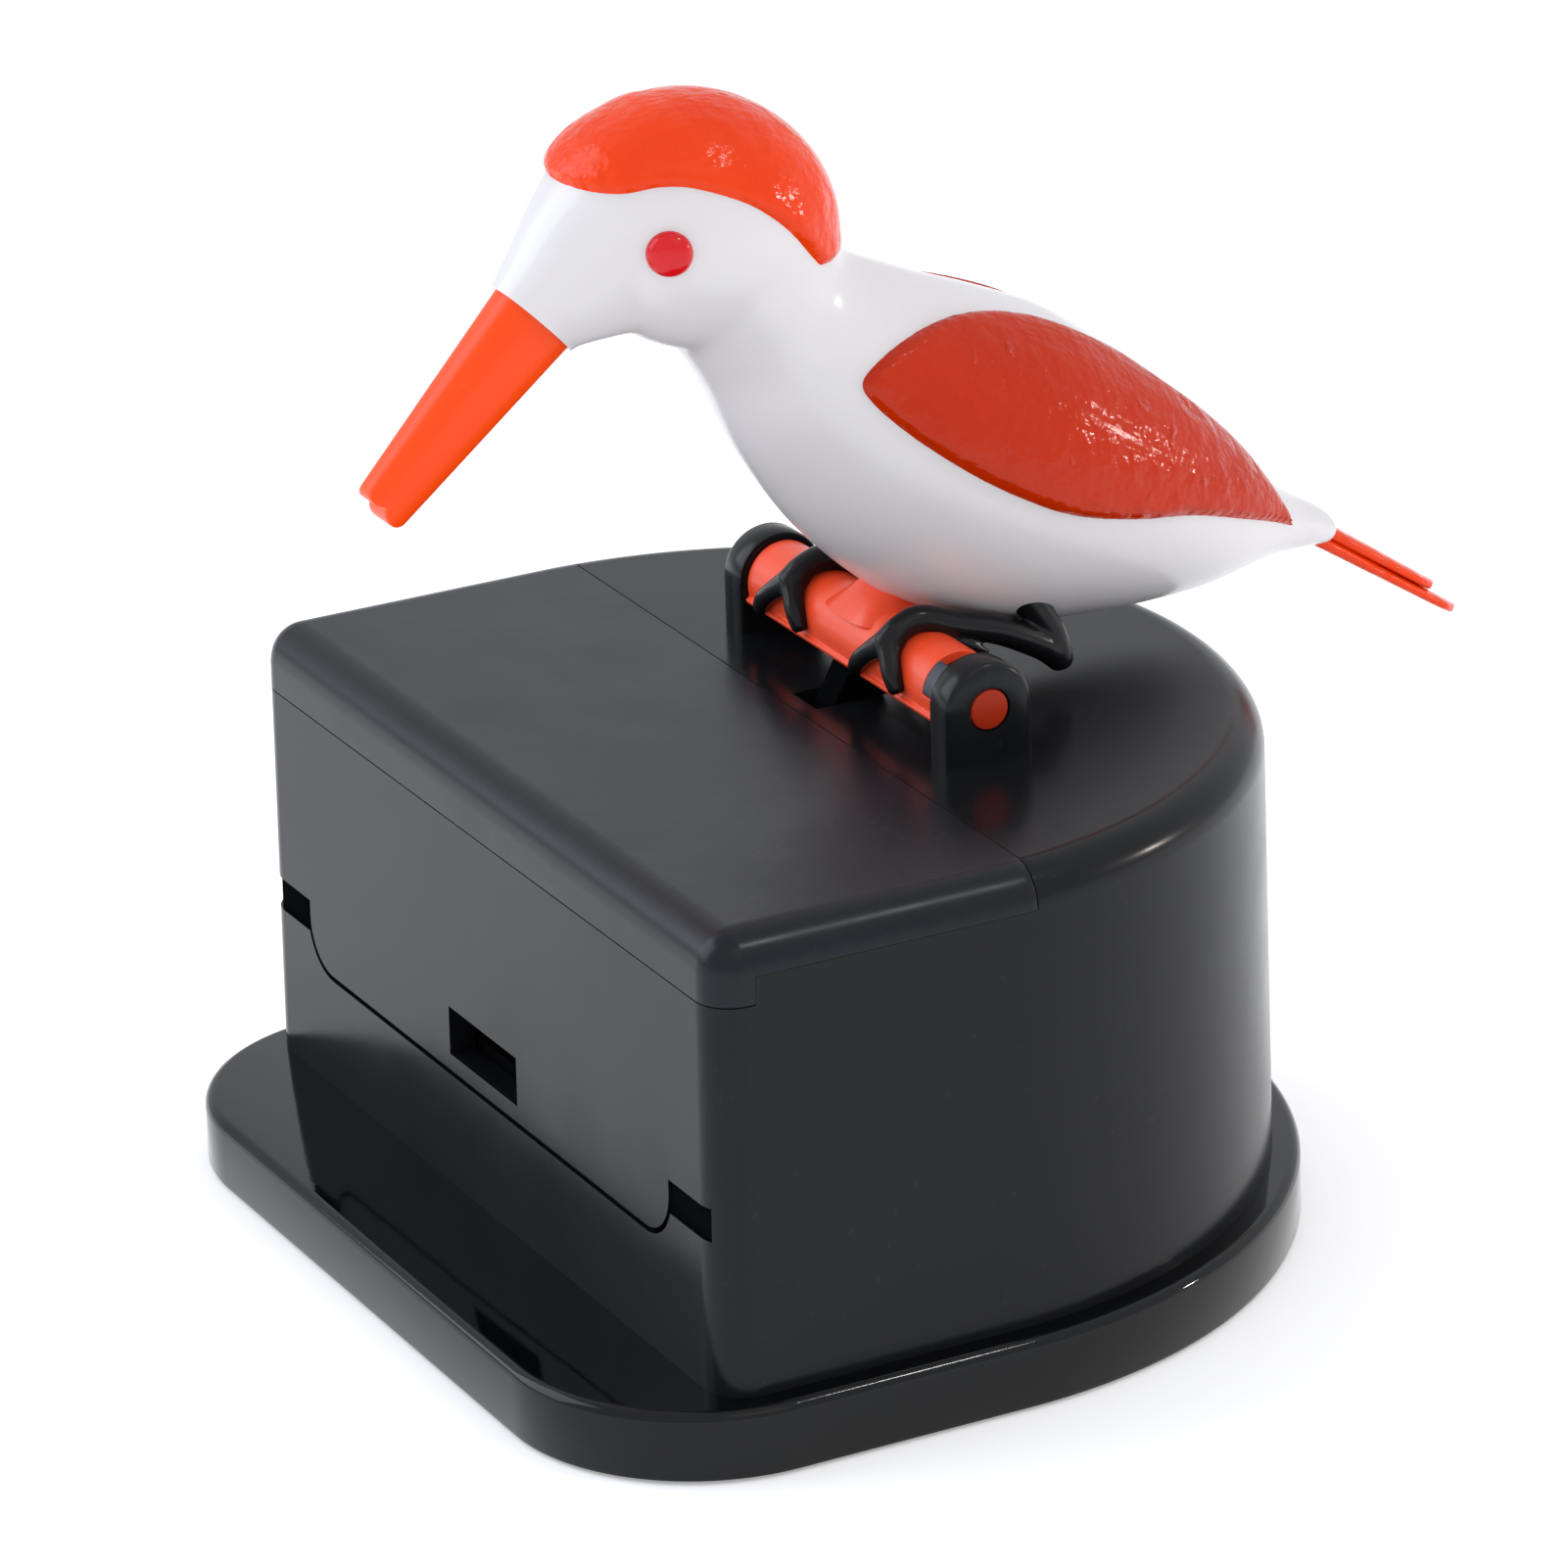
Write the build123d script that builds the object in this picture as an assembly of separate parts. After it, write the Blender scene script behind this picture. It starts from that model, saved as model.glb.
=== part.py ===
from build123d import *
import math
import os

# Table-top toothpick dispenser: a bird on a perch nods over a D-shaped cabinet.
# Millimetres.  X is sideways, -Y is the front, +Z is up, z = 0 is the table.
# The origin is under the centre of the cabinet's half-round rear.

os.makedirs("parts", exist_ok=True)

# ---- cabinet ---------------------------------------------------------------
CAB_HALF = 40.0            # half width of the cabinet at its top
CAB_FRONT = -24.7          # front face at the top
CAB_TOP = 43.1             # upper surface of lid and deck
CORNER_R = 2.9             # upright front corners
TOP_R = 3.1                # rounding of the top edge
DRAFT = 0.62               # degrees, the walls spread downwards
WALL = 2.0
DECK_T = 2.5
SEAM_Y = 2.9               # joint line between lid and deck
LID_SKIRT = 37.7           # lower edge of the lid's front skirt
LID_SIDE = 39.9
SEAM_GAP = 0.15

# ---- base ------------------------------------------------------------------
BASE_T = 5.8
FLANGE = 2.65
LIP = 11.4
LIP_R = 16.2
BASE_FLOOR = 2.5

# ---- front wall openings ---------------------------------------------------
PANEL_HALF = 31.9
PANEL_LOW = 15.85
SLIT = 0.5
PANEL_R = 4.0
NOTCH_Z = (18.4, 21.15)
WINDOW_HALF = 6.0
WINDOW_Z = (17.25, 21.35)

# ---- perch -----------------------------------------------------------------
PIVOT_Y = 10.8
PIVOT_Z = 47.3
POST_IN = 15.7
POST_OUT = 18.7
POST_R = 3.8
TUBE_R = 3.2
TUBE_BORE = 2.4
TUBE_END = 15.5
JOURNAL_R = 1.7
RUNNING = 0.06             # radial running clearance
CRANK_R = 12.0
CRANK_ANGLE = -118.5       # crank direction at rest, degrees from +Y towards +Z
CRANK_PIN_R = 1.0

# ---- feed mechanism --------------------------------------------------------
TRAY_Z = 17.0              # underside of the hopper's level floor
TRAY_T = 1.2
SLIDE_Z = (9.0, 12.0)
FORK_PLAY = 0.22

# ---- bird: y, z, half width, half depth of the cross-sections, crown to tail
SPINE = [
    (-7.8, 94.2, 1.6, 2.2),
    (-7.5, 93.0, 4.8, 6.0),
    (-6.8, 90.2, 7.8, 9.6),
    (-5.2, 85.6, 9.1, 11.2),
    (-1.8, 82.4, 8.8, 9.7),
    (2.1, 76.1, 8.4, 7.4),
    (7.0, 70.6, 10.2, 9.7),
    (13.4, 65.1, 12.0, 12.0),
    (21.2, 60.2, 12.4, 12.9),
    (30.6, 56.3, 11.0, 10.6),
    (39.0, 52.9, 8.4, 7.0),
    (46.2, 50.5, 4.9, 3.2),
    (52.4, 48.5, 2.4, 1.2),
]
SNOUT_FROM, SNOUT_TO = (-9.0, 86.6), (-18.2, 79.2)
SNOUT_R0, SNOUT_R1 = 6.6, 3.5
SKIN = 1.8
TAIL_Y = 50.4                  # flat rear end of the body, where the tail blades start
CAP_T = 0.7
WING_T = 1.5


def save(shape, name, tint):
    """Write one piece of the object as its own STEP file."""
    shape.label = name
    shape.color = Color(*tint)
    export_step(shape, "parts/" + name + ".step")


def block(x0, x1, y0, y1, z0, z1):
    """Axis-aligned box from its limits."""
    centre = ((x0 + x1) / 2, (y0 + y1) / 2, (z0 + z1) / 2)
    return Pos(*centre) * Box(x1 - x0, y1 - y0, z1 - z0)


def rod_x(radius, x0, x1, y, z):
    """Round bar along X."""
    turn = Pos((x0 + x1) / 2, y, z) * Rot(0, 90, 0)
    return turn * Cylinder(radius, x1 - x0)


def side_plate(points, x0, x1):
    """Polygon drawn in the side view (y, z), given thickness from x0 to x1."""
    outline = make_face(Polyline(*points, close=True))
    return Pos(x0, 0, 0) * extrude(Plane.YZ * outline, x1 - x0)


def side_blob(points, x0, x1):
    """Smooth closed outline in the side view (y, z), thickened from x0 to x1."""
    outline = make_face(Spline(*points, periodic=True))
    return Pos(x0, 0, 0) * extrude(Plane.YZ * outline, x1 - x0)


def half_disc(radius):
    """The half of a disc that lies behind y = 0."""
    return Circle(radius) & (Pos(0, radius) * Rectangle(3 * radius, 2 * radius))


def d_outline(grow):
    """Cabinet plan: straight front and sides, half-round rear."""
    half = CAB_HALF + grow
    front = CAB_FRONT - grow
    plan = Pos(0, front / 2) * Rectangle(2 * half, -front)
    plan += half_disc(half)
    corners = plan.vertices().filter_by(lambda v: v.Y < front + 0.01)
    return fillet(corners, CORNER_R)


def polar(radius, angle):
    """Side-view point at an angle round the perch axis."""
    turn = math.radians(angle)
    return (PIVOT_Y + radius * math.cos(turn), PIVOT_Z + radius * math.sin(turn))


# ---- cabinet shell, lid and base -------------------------------------------
spread = (CAB_TOP - BASE_T) * math.tan(math.radians(DRAFT))
outer = Pos(0, 0, BASE_T) * extrude(d_outline(spread), CAB_TOP - BASE_T, taper=DRAFT)
outer = fillet(outer.faces().sort_by(Axis.Z)[-1].edges(), TOP_R)
cavity = Pos(0, 0, BASE_T - 1) * extrude(d_outline(-WALL), CAB_TOP - DECK_T - BASE_T + 1)

shell = outer - cavity
lid_zone = block(-60, 60, -60, SEAM_Y, LID_SIDE, 60)
lid_zone += block(-60, 60, -60, CAB_FRONT + 3.6, LID_SKIRT, 60)
rest_zone = block(-60, 60, -60, SEAM_Y + SEAM_GAP, LID_SIDE - SEAM_GAP, 60)
rest_zone += block(-60, 60, -60, CAB_FRONT + 3.75, LID_SKIRT - SEAM_GAP, 60)
lid = shell & lid_zone
housing = shell - rest_zone

# The lid locates inside the cabinet by four downward tabs.
for side in (-1, 1):
    for y in (-16.5, -4.0):
        lid += block(side * 36.4 - 1.2, side * 36.4 + 1.2, y - 4, y + 4, 35.5, 41.0)

# U-shaped slit, end notches and the pick-up window through the front wall.
panel = Pos(0, (PANEL_LOW + 40) / 2) * Rectangle(2 * PANEL_HALF, 40 - PANEL_LOW)
panel = fillet(panel.vertices().sort_by(Axis.Y)[:2], PANEL_R)
around = Pos(0, (PANEL_LOW - SLIT + 40) / 2) * Rectangle(
    2 * PANEL_HALF + 2 * SLIT, 40 - PANEL_LOW + SLIT)
around = fillet(around.vertices().sort_by(Axis.Y)[:2], PANEL_R + SLIT)
slit = Plane.XZ * (around - panel)
slit = Pos(0, CAB_FRONT + 4, 0) * extrude(slit, 8)
slit &= block(-50, 50, -50, 0, 10, NOTCH_Z[1] - 0.5)
housing -= slit
for side in (-1, 1):
    inner_x = side * PANEL_HALF
    outer_x = side * 45.0
    x0, x1 = min(inner_x, outer_x), max(inner_x, outer_x)
    housing -= block(x0, x1, -30, CAB_FRONT + 2.4, NOTCH_Z[0], NOTCH_Z[1])
housing -= block(-WINDOW_HALF, WINDOW_HALF, -30, CAB_FRONT + 3, WINDOW_Z[0], WINDOW_Z[1])

# Opening in the deck for the crank, and bosses for the base screws.
housing -= block(-2.0, 2.0, 4.4, 17.2, CAB_TOP - 6, CAB_TOP + 1)
BOSSES = [(-33.0, -16.0), (33.0, -16.0), (-27.0, 24.0), (27.0, 24.0)]
for x, y in BOSSES:
    if y > 0:
        housing += Pos(x, y, (BASE_T + CAB_TOP - 1) / 2) * Cylinder(3.4, CAB_TOP - 1 - BASE_T)
    else:
        side = 1 if x > 0 else -1
        housing += block(side * 34.0 - 4.4, side * 34.0 + 4.4, y - 3.4, y + 3.4, BASE_T, 14.5)
for x, y in BOSSES:
    housing -= Pos(x, y, BASE_T + 4.0) * Cylinder(1.2, 8.1)

rear = half_disc(CAB_HALF + FLANGE)
lip_y = CAB_FRONT - LIP
lip = Pos(0, lip_y / 2) * Rectangle(2 * (CAB_HALF + FLANGE), -lip_y)
lip = fillet(lip.vertices().sort_by(Axis.Y)[:2], LIP_R)
base = extrude(lip + rear, BASE_T)
base = fillet(base.faces().sort_by(Axis.Z)[-1].edges(), 0.9)
pocket = extrude(d_outline(-WALL - 1.4), 20)
base -= Pos(0, 0, BASE_FLOOR) * pocket
for x, y in BOSSES:
    base += Pos(x, y, (BASE_FLOOR + BASE_T) / 2) * Cylinder(4.2, BASE_T - BASE_FLOOR)
for x, y in BOSSES:
    base -= Pos(x, y, BASE_T / 2) * Cylinder(1.45, BASE_T + 1)
    base -= Pos(x, y, 1.1) * Cylinder(2.9, 2.2)
FEET = [(-24.0, -27.0), (24.0, -27.0), (-14.0, 32.0), (14.0, 32.0)]
for x, y in FEET:
    base -= Pos(x, y, 0.4) * Cylinder(4.5, 0.8)

pads = Compound(children=[Pos(x, y, 0.4) * Cylinder(4.45, 0.8) for x, y in FEET])
screws = []
for x, y in BOSSES:
    screw = Pos(x, y, 1.4) * Cylinder(2.7, 1.6)
    screw += Pos(x, y, 6.0) * Cylinder(1.15, 7.8)
    screw -= Pos(x, y, 0.9) * Box(3.6, 0.6, 0.8)
    screws.append(screw)
screws = Compound(children=screws)

# ---- hopper and feed track -------------------------------------------------
tray_top = TRAY_Z + TRAY_T
hopper = side_plate(
    [(-22.5, TRAY_Z), (-6.0, TRAY_Z), (0.2, 24.5), (0.2, 37.0), (-1.0, 37.0),
     (-1.0, 25.0), (-6.6, tray_top), (-22.5, tray_top)], -35.0, 35.0)
for side in (-1, 1):
    cheek = side_plate(
        [(-22.5, TRAY_Z), (-6.0, TRAY_Z), (0.2, 24.5), (0.2, 35.0), (-22.5, 35.0)],
        33.4, 34.6)
    hopper += cheek if side > 0 else mirror(cheek, Plane.YZ)
    hopper += block(side * 25 - 1.5, side * 25 + 1.5, -20.9, -17.9, BASE_FLOOR, TRAY_Z)
    hopper += block(side * 25 - 1.5, side * 25 + 1.5, -10.5, -7.5, BASE_FLOOR, TRAY_Z)
    hopper -= block(side * 11 - 1.6, side * 11 + 1.6, -21.6, -5.4, TRAY_Z - 1, tray_top + 0.6)

track = block(-16.5, 16.5, -21.0, 31.5, 7.4, 8.9)
for side in (-1, 1):
    track += block(side * 15.3 - 1.2, side * 15.3 + 1.2, -21.0, 31.5, 7.4, 14.0)
    track += block(side * 14.5 - 2.0, side * 14.5 + 2.0, -21.0, 31.5, 12.1, 14.0)
for y in (-19.0, 6.0, 29.5):
    track += block(-16.5, 16.5, y - 2, y + 2, BASE_FLOOR, 8.9)

# The slide: plate, two pusher fingers and the fork that follows the crank pin.
pin_y, pin_z = polar(CRANK_R, CRANK_ANGLE)
slide = block(-14.0, 14.0, -20.7, 12.0, SLIDE_Z[0], SLIDE_Z[1])
slide -= block(-7.5, 7.5, -16.0, -2.0, SLIDE_Z[0] - 1, SLIDE_Z[1] + 1)
prong = CRANK_PIN_R + FORK_PLAY
for side in (-1, 1):
    slide += block(side * 11 - 1.1, side * 11 + 1.1, -20.7, -17.7, SLIDE_Z[0], 19.8)
    upright = block(2.2, 5.0, pin_y - 3.4, pin_y + 3.4, SLIDE_Z[0], 38.6)
    upright -= block(1.0, 6.0, pin_y - prong, pin_y + prong, pin_z - 3.2, 40.0)
    slide += upright if side > 0 else mirror(upright, Plane.YZ)

# ---- perch -----------------------------------------------------------------
post = rod_x(POST_R, POST_IN, POST_OUT, PIVOT_Y, PIVOT_Z)
post += block(POST_IN, POST_OUT, PIVOT_Y - POST_R, PIVOT_Y + POST_R, CAB_TOP, PIVOT_Z)
post += block(POST_IN + 0.6, POST_OUT - 0.6, PIVOT_Y - 2, PIVOT_Y + 2, CAB_TOP - 2.4, CAB_TOP)
post -= rod_x(JOURNAL_R + RUNNING, POST_IN - 1, POST_OUT + 1, PIVOT_Y, PIVOT_Z)
post_left = mirror(post, Plane.YZ)
for side in (-1, 1):
    x0 = side * (POST_IN + POST_OUT) / 2
    housing -= block(x0 - 0.9, x0 + 0.9, PIVOT_Y - 2, PIVOT_Y + 2, CAB_TOP - 2.4, CAB_TOP + 1)


def sector(radius, angle0, angle1, x0, x1):
    """Wedge round the perch axis between two angles."""
    points = [(PIVOT_Y, PIVOT_Z)]
    steps = 12
    for i in range(steps + 1):
        points.append(polar(radius, angle0 + (angle1 - angle0) * i / steps))
    return side_plate(points, x0, x1)


# Stop key on the right-hand post, standing in the notch of the tube's end.
ring = rod_x(3.1, 13.9, POST_IN, PIVOT_Y, PIVOT_Z) - rod_x(1.9, 13.5, 16, PIVOT_Y, PIVOT_Z)
stop_key = ring & sector(8, 122, 142, 13.9, POST_IN)
post_right = post

tube = rod_x(TUBE_R, -TUBE_END, TUBE_END, PIVOT_Y, PIVOT_Z)
bore = rod_x(TUBE_BORE, -TUBE_END + 1.2, TUBE_END - 3.2, PIVOT_Y, PIVOT_Z)
tube -= bore
tube -= sector(8, 202, 338, -TUBE_END - 1, TUBE_END + 1)
tube += rod_x(JOURNAL_R, -POST_OUT - 0.1, POST_OUT + 0.1, PIVOT_Y, PIVOT_Z)
tube -= rod_x(1.9, -12.0, -4.0, PIVOT_Y, PIVOT_Z) - rod_x(1.2, -12.5, -3.5, PIVOT_Y, PIVOT_Z)
tube += rod_x(2.5, -2.4, 2.4, PIVOT_Y, PIVOT_Z)
tube -= sector(8, 62, 144, 13.7, TUBE_END + 0.1) - rod_x(1.8, 13, 16, PIVOT_Y, PIVOT_Z)

# Crank: flat arm hanging through the deck, with a cross pin for the fork.
arm = block(-1.4, 1.4, -1.8, 1.8, -CRANK_R - 2.0, -2.6)
crank = Pos(0, PIVOT_Y, PIVOT_Z) * Rot(CRANK_ANGLE + 90, 0, 0) * arm
crank -= rod_x(2.5, -3, 3, PIVOT_Y, PIVOT_Z)
crank -= rod_x(CRANK_PIN_R, -2, 2, pin_y, pin_z)
crank_pin = rod_x(CRANK_PIN_R, -5.6, 5.6, pin_y, pin_z)

# Saddle between the tube and the belly.
saddle = Pos(0, 11.6, 52.6) * Box(6.0, 8.4, 7.0)
saddle = fillet(saddle.edges().filter_by(Axis.Z), 1.6)
saddle -= rod_x(TUBE_R, -5, 5, PIVOT_Y, PIVOT_Z)

# Torsion spring on the thin part of the tube's core.
coil = Helix(pitch=0.9, height=6.3, radius=1.55)
wire = sweep(Plane(coil @ 0, z_dir=coil % 0) * Circle(0.2), path=coil)
spring = Pos(-11.2, PIVOT_Y, PIVOT_Z) * Rot(0, 90, 0) * wire


# ---- bird ------------------------------------------------------------------
def lofted(spine, grow):
    """Loft of elliptical sections standing square to a path in the side view."""
    faces = []
    count = len(spine)
    for i, (y, z, half_w, half_d) in enumerate(spine):
        y0, z0 = spine[max(i - 1, 0)][:2]
        y1, z1 = spine[min(i + 1, count - 1)][:2]
        down = (0, z1 - z0, y0 - y1)
        plane = Plane(origin=(0, y, z), x_dir=down, z_dir=(0, y1 - y0, z1 - z0))
        faces.append(plane * Ellipse(max(half_d + grow, 0.5), max(half_w + grow, 0.5)))
    return loft(faces)


bird = lofted(SPINE, 0)
inside = lofted(SPINE, -SKIN) & block(-30, 30, -30, 44, 44, 92)


def leg_on(x):
    """Foot, tarsus and heel at one side, ending inside the belly."""
    tarsus = side_plate(
        [(8.2, 50.2), (10.8, 51.2), (15.0, 50.7), (19.4, 49.4), (19.6, 54.0),
         (23.2, 54.0), (23.6, 49.4), (24.6, 46.4), (23.4, 43.9), (21.6, 44.2),
         (20.6, 46.6), (15.0, 48.4), (11.6, 49.2)], x - 1.3, x + 1.3)
    knuckle = rod_x(3.85, x - 3.1, x + 3.1, PIVOT_Y, PIVOT_Z)
    knuckle -= rod_x(2.9, x - 6, x + 6, PIVOT_Y, PIVOT_Z)
    foot = tarsus + (knuckle & sector(8, 84, 112, x - 3.1, x + 3.1))
    for shift in (-2.3, 0.0, 2.3):
        toe = rod_x(3.85, x + shift - 0.8, x + shift + 0.8, PIVOT_Y, PIVOT_Z)
        toe -= rod_x(2.9, x - 6, x + 6, PIVOT_Y, PIVOT_Z)
        toe &= sector(8, 84, 190 + 2 * shift, x + shift - 0.8, x + shift + 0.8)
        foot += toe
    return foot


leg_right = leg_on(8.0)
leg_left = mirror(leg_right, Plane.YZ)
tube -= leg_right
tube -= leg_left

# Head end that the bill grows out of, and the bill with its two lips.
snout_run = (SNOUT_TO[0] - SNOUT_FROM[0], SNOUT_TO[1] - SNOUT_FROM[1])
snout_len = (snout_run[0] ** 2 + snout_run[1] ** 2) ** 0.5
snout_plane = Plane(origin=(0, *SNOUT_FROM), x_dir=(1, 0, 0), z_dir=(0, *snout_run))
snout = snout_plane * Pos(0, 0, snout_len / 2) * Cone(SNOUT_R0, SNOUT_R1, snout_len)
beak = lofted([(-17.0, 80.3, 2.8, 3.5), (-18.2, 79.2, 2.7, 3.4), (-25.0, 72.7, 2.2, 2.8),
               (-31.0, 67.0, 1.8, 2.2), (-32.3, 65.7, 1.5, 1.9)], 0)
beak -= side_plate([(-34.5, 64.6), (-33.4, 63.5), (-31.2, 66.8)], -4, 4)
beak -= bird + snout

eye_right = Pos(7.4, -10.0, 85.0) * Sphere(2.1) - bird
eye_left = mirror(eye_right, Plane.YZ)

CAP_EDGE = [(-18.0, 90.8), (-15.2, 89.8), (-12.8, 89.7), (-10.2, 90.0), (-7.4, 89.7),
            (-3.6, 88.1), (-0.7, 85.9), (1.4, 83.6), (3.0, 81.7), (6.0, 81.4), (12.0, 81.6),
            (12.0, 99.0), (-24.0, 99.0), (-24.0, 91.5)]
cap = lofted(SPINE, CAP_T) & side_plate(CAP_EDGE, -30, 30)
cap -= bird

WING_EDGE = [(5.6, 71.6), (8.4, 74.8), (13.6, 75.7), (20.4, 74.4), (29.6, 69.4), (38.0, 62.0),
             (43.6, 55.2), (46.0, 51.2), (41.0, 53.6), (34.7, 55.9), (27.0, 57.6),
             (17.9, 61.2), (9.6, 67.0)]
wing_skin = lofted(SPINE, WING_T) - bird
wing_right = wing_skin & side_blob(WING_EDGE, 5.0, 20.0)
wing_left = mirror(wing_right, Plane.YZ)


def tail_blade(y0, z0, y1, z1, half0, half1, thick):
    """Flat feather group running down and back from the rump."""
    length = math.hypot(y1 - y0, z1 - z0)
    plan = make_face(Polyline((-half0, 0), (half0, 0), (half1, length), (-half1, length),
                              close=True))
    plan = fillet(plan.vertices().sort_by(Axis.Y)[-2:], half1 * 0.7)
    blade = extrude(plan, thick)
    angle = math.degrees(math.atan2(z1 - z0, y1 - y0))
    return Pos(0, y0, z0) * Rot(angle, 0, 0) * blade


behind_body = block(-10, 10, TAIL_Y, 70, 30, 70)
tail_upper = tail_blade(48.2, 50.9, 62.1, 41.1, 2.7, 2.4, 1.0) & behind_body
tail_lower = tail_blade(48.2, 49.5, 64.1, 38.6, 3.1, 2.7, 1.0) & behind_body

body = bird + snout - inside - block(-10, 10, TAIL_Y, 70, 30, 70)
for piece in (leg_right, leg_left, saddle):
    body -= piece
tail_upper -= tail_lower
body_left = body & block(-40, 0, -60, 80, 30, 110)
body_right = mirror(body_left, Plane.YZ)

# ---- files -----------------------------------------------------------------
BLACK = (0.03, 0.03, 0.035)
ORANGE = (0.95, 0.25, 0.1)
RED = (0.85, 0.15, 0.06)
WHITE = (0.93, 0.92, 0.94)
GREY = (0.25, 0.25, 0.27)
STEEL = (0.7, 0.7, 0.72)

save(base, "base_plate", BLACK)
save(pads, "base_pads", GREY)
save(screws, "base_screws", STEEL)
save(housing, "housing", BLACK)
save(lid, "lid", BLACK)
save(hopper, "hopper", GREY)
save(track, "feed_track", GREY)
save(slide, "feed_slide", GREY)
save(post_left, "post_left", BLACK)
save(post_right, "post_right", BLACK)
save(stop_key, "stop_key", GREY)
save(tube, "perch_tube", ORANGE)
save(saddle, "saddle", ORANGE)
save(crank, "crank_arm", GREY)
save(crank_pin, "crank_pin", STEEL)
save(spring, "return_spring", STEEL)
save(leg_left, "leg_left", BLACK)
save(leg_right, "leg_right", BLACK)
save(body_left, "body_left", WHITE)
save(body_right, "body_right", WHITE)
save(beak, "beak", ORANGE)
save(eye_left, "eye_left", RED)
save(eye_right, "eye_right", RED)
save(cap, "cap", RED)
save(wing_left, "wing_left", RED)
save(wing_right, "wing_right", RED)
save(tail_upper, "tail_upper", RED)
save(tail_lower, "tail_lower", RED)
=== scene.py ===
import math
import bmesh
import bpy
from mathutils import Matrix, Vector
from mathutils.bvhtree import BVHTree


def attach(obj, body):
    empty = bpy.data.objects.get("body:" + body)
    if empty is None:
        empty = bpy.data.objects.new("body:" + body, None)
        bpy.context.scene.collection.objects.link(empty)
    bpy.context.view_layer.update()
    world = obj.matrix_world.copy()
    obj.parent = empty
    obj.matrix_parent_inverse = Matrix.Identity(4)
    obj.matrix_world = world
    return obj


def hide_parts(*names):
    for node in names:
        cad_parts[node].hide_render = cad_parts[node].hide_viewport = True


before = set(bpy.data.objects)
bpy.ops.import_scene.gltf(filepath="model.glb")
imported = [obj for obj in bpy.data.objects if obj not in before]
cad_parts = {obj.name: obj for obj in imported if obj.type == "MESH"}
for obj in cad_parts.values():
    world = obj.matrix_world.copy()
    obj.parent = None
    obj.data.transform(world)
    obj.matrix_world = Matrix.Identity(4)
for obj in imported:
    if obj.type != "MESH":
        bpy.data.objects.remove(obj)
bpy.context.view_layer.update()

MM = 0.001
PIVOT = (10.8, 47.3)          # perch axis in the side view (y, z), mm


# ---------------------------------------------------------------- mesh helpers
def new_object(name, verts, faces, smooth_angle=38.0):
    """Object from vertices in millimetres, smooth except at sharp edges."""
    mesh = bpy.data.meshes.new(name)
    mesh.from_pydata([tuple(c * MM for c in v) for v in verts], [], faces)
    mesh.update()
    obj = bpy.data.objects.new(name, mesh)
    bpy.context.scene.collection.objects.link(obj)
    tidy(obj, smooth_angle)
    return obj


def tidy(obj, smooth_angle):
    """Outward normals and smooth shading with sharp edges above an angle."""
    bm = bmesh.new()
    bm.from_mesh(obj.data)
    bmesh.ops.remove_doubles(bm, verts=bm.verts, dist=1e-7)
    bmesh.ops.recalc_face_normals(bm, faces=bm.faces)
    limit = math.radians(smooth_angle)
    for face in bm.faces:
        face.smooth = True
    for edge in bm.edges:
        if len(edge.link_faces) == 2:
            edge.smooth = edge.calc_face_angle(0.0) < limit
    bm.to_mesh(obj.data)
    bm.free()
    obj.data.update()


def bake(obj):
    """Apply all modifiers of an object."""
    graph = bpy.context.evaluated_depsgraph_get()
    mesh = bpy.data.meshes.new_from_object(obj.evaluated_get(graph))
    obj.modifiers.clear()
    obj.data = mesh
    return obj


def combine(obj, other, operation):
    """Boolean of two objects; the other one is removed afterwards."""
    mod = obj.modifiers.new("cut", "BOOLEAN")
    mod.operation = operation
    mod.solver = "EXACT"
    mod.object = other
    bake(obj)
    bpy.data.objects.remove(other, do_unlink=True)
    return obj


def soften(obj, width, segments=2, angle=40.0):
    """Small rounding on every sharp edge."""
    mod = obj.modifiers.new("edge", "BEVEL")
    mod.width = width * MM
    mod.segments = segments
    mod.limit_method = "ANGLE"
    mod.angle_limit = math.radians(angle)
    mod.use_clamp_overlap = True
    bake(obj)
    tidy(obj, 50.0)
    weighted = obj.modifiers.new("normals", "WEIGHTED_NORMAL")
    weighted.keep_sharp = True
    return obj


def melt(obj, voxel, iterations):
    """One closed skin from overlapping shapes, with their meeting lines rounded."""
    mod = obj.modifiers.new("remesh", "REMESH")
    mod.mode = "VOXEL"
    mod.voxel_size = voxel * MM
    smooth = obj.modifiers.new("smooth", "SMOOTH")
    smooth.factor = 0.5
    smooth.iterations = iterations
    return bake(obj)


def rings(name, loops, smooth_angle=38.0):
    """Closed skin through a list of loops with equal point counts."""
    verts = [p for loop in loops for p in loop]
    n = len(loops[0])
    faces = []
    for i in range(len(loops) - 1):
        for j in range(n):
            k = (j + 1) % n
            faces.append((i * n + j, i * n + k, (i + 1) * n + k, (i + 1) * n + j))
    faces.append(tuple(range(n - 1, -1, -1)))
    faces.append(tuple((len(loops) - 1) * n + j for j in range(n)))
    return new_object(name, verts, faces, smooth_angle)


def box(name, x0, x1, y0, y1, z0, z1):
    low = [(x0, y0, z0), (x1, y0, z0), (x1, y1, z0), (x0, y1, z0)]
    high = [(x, y, z1) for x, y, _ in low]
    return rings(name, [low, high])


def prism(name, outline, axis, a, b):
    """Outline of 2-D points given thickness along X, Y or Z."""
    def place(p, t):
        if axis == "X":
            return (t, p[0], p[1])
        if axis == "Y":
            return (p[0], t, p[1])
        return (p[0], p[1], t)
    return rings(name, [[place(p, a) for p in outline], [place(p, b) for p in outline]])


def boxy(value, power):
    """Power that keeps the sign; below 1 it turns a circle towards a rounded box."""
    return math.copysign(abs(value) ** power, value)


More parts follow.
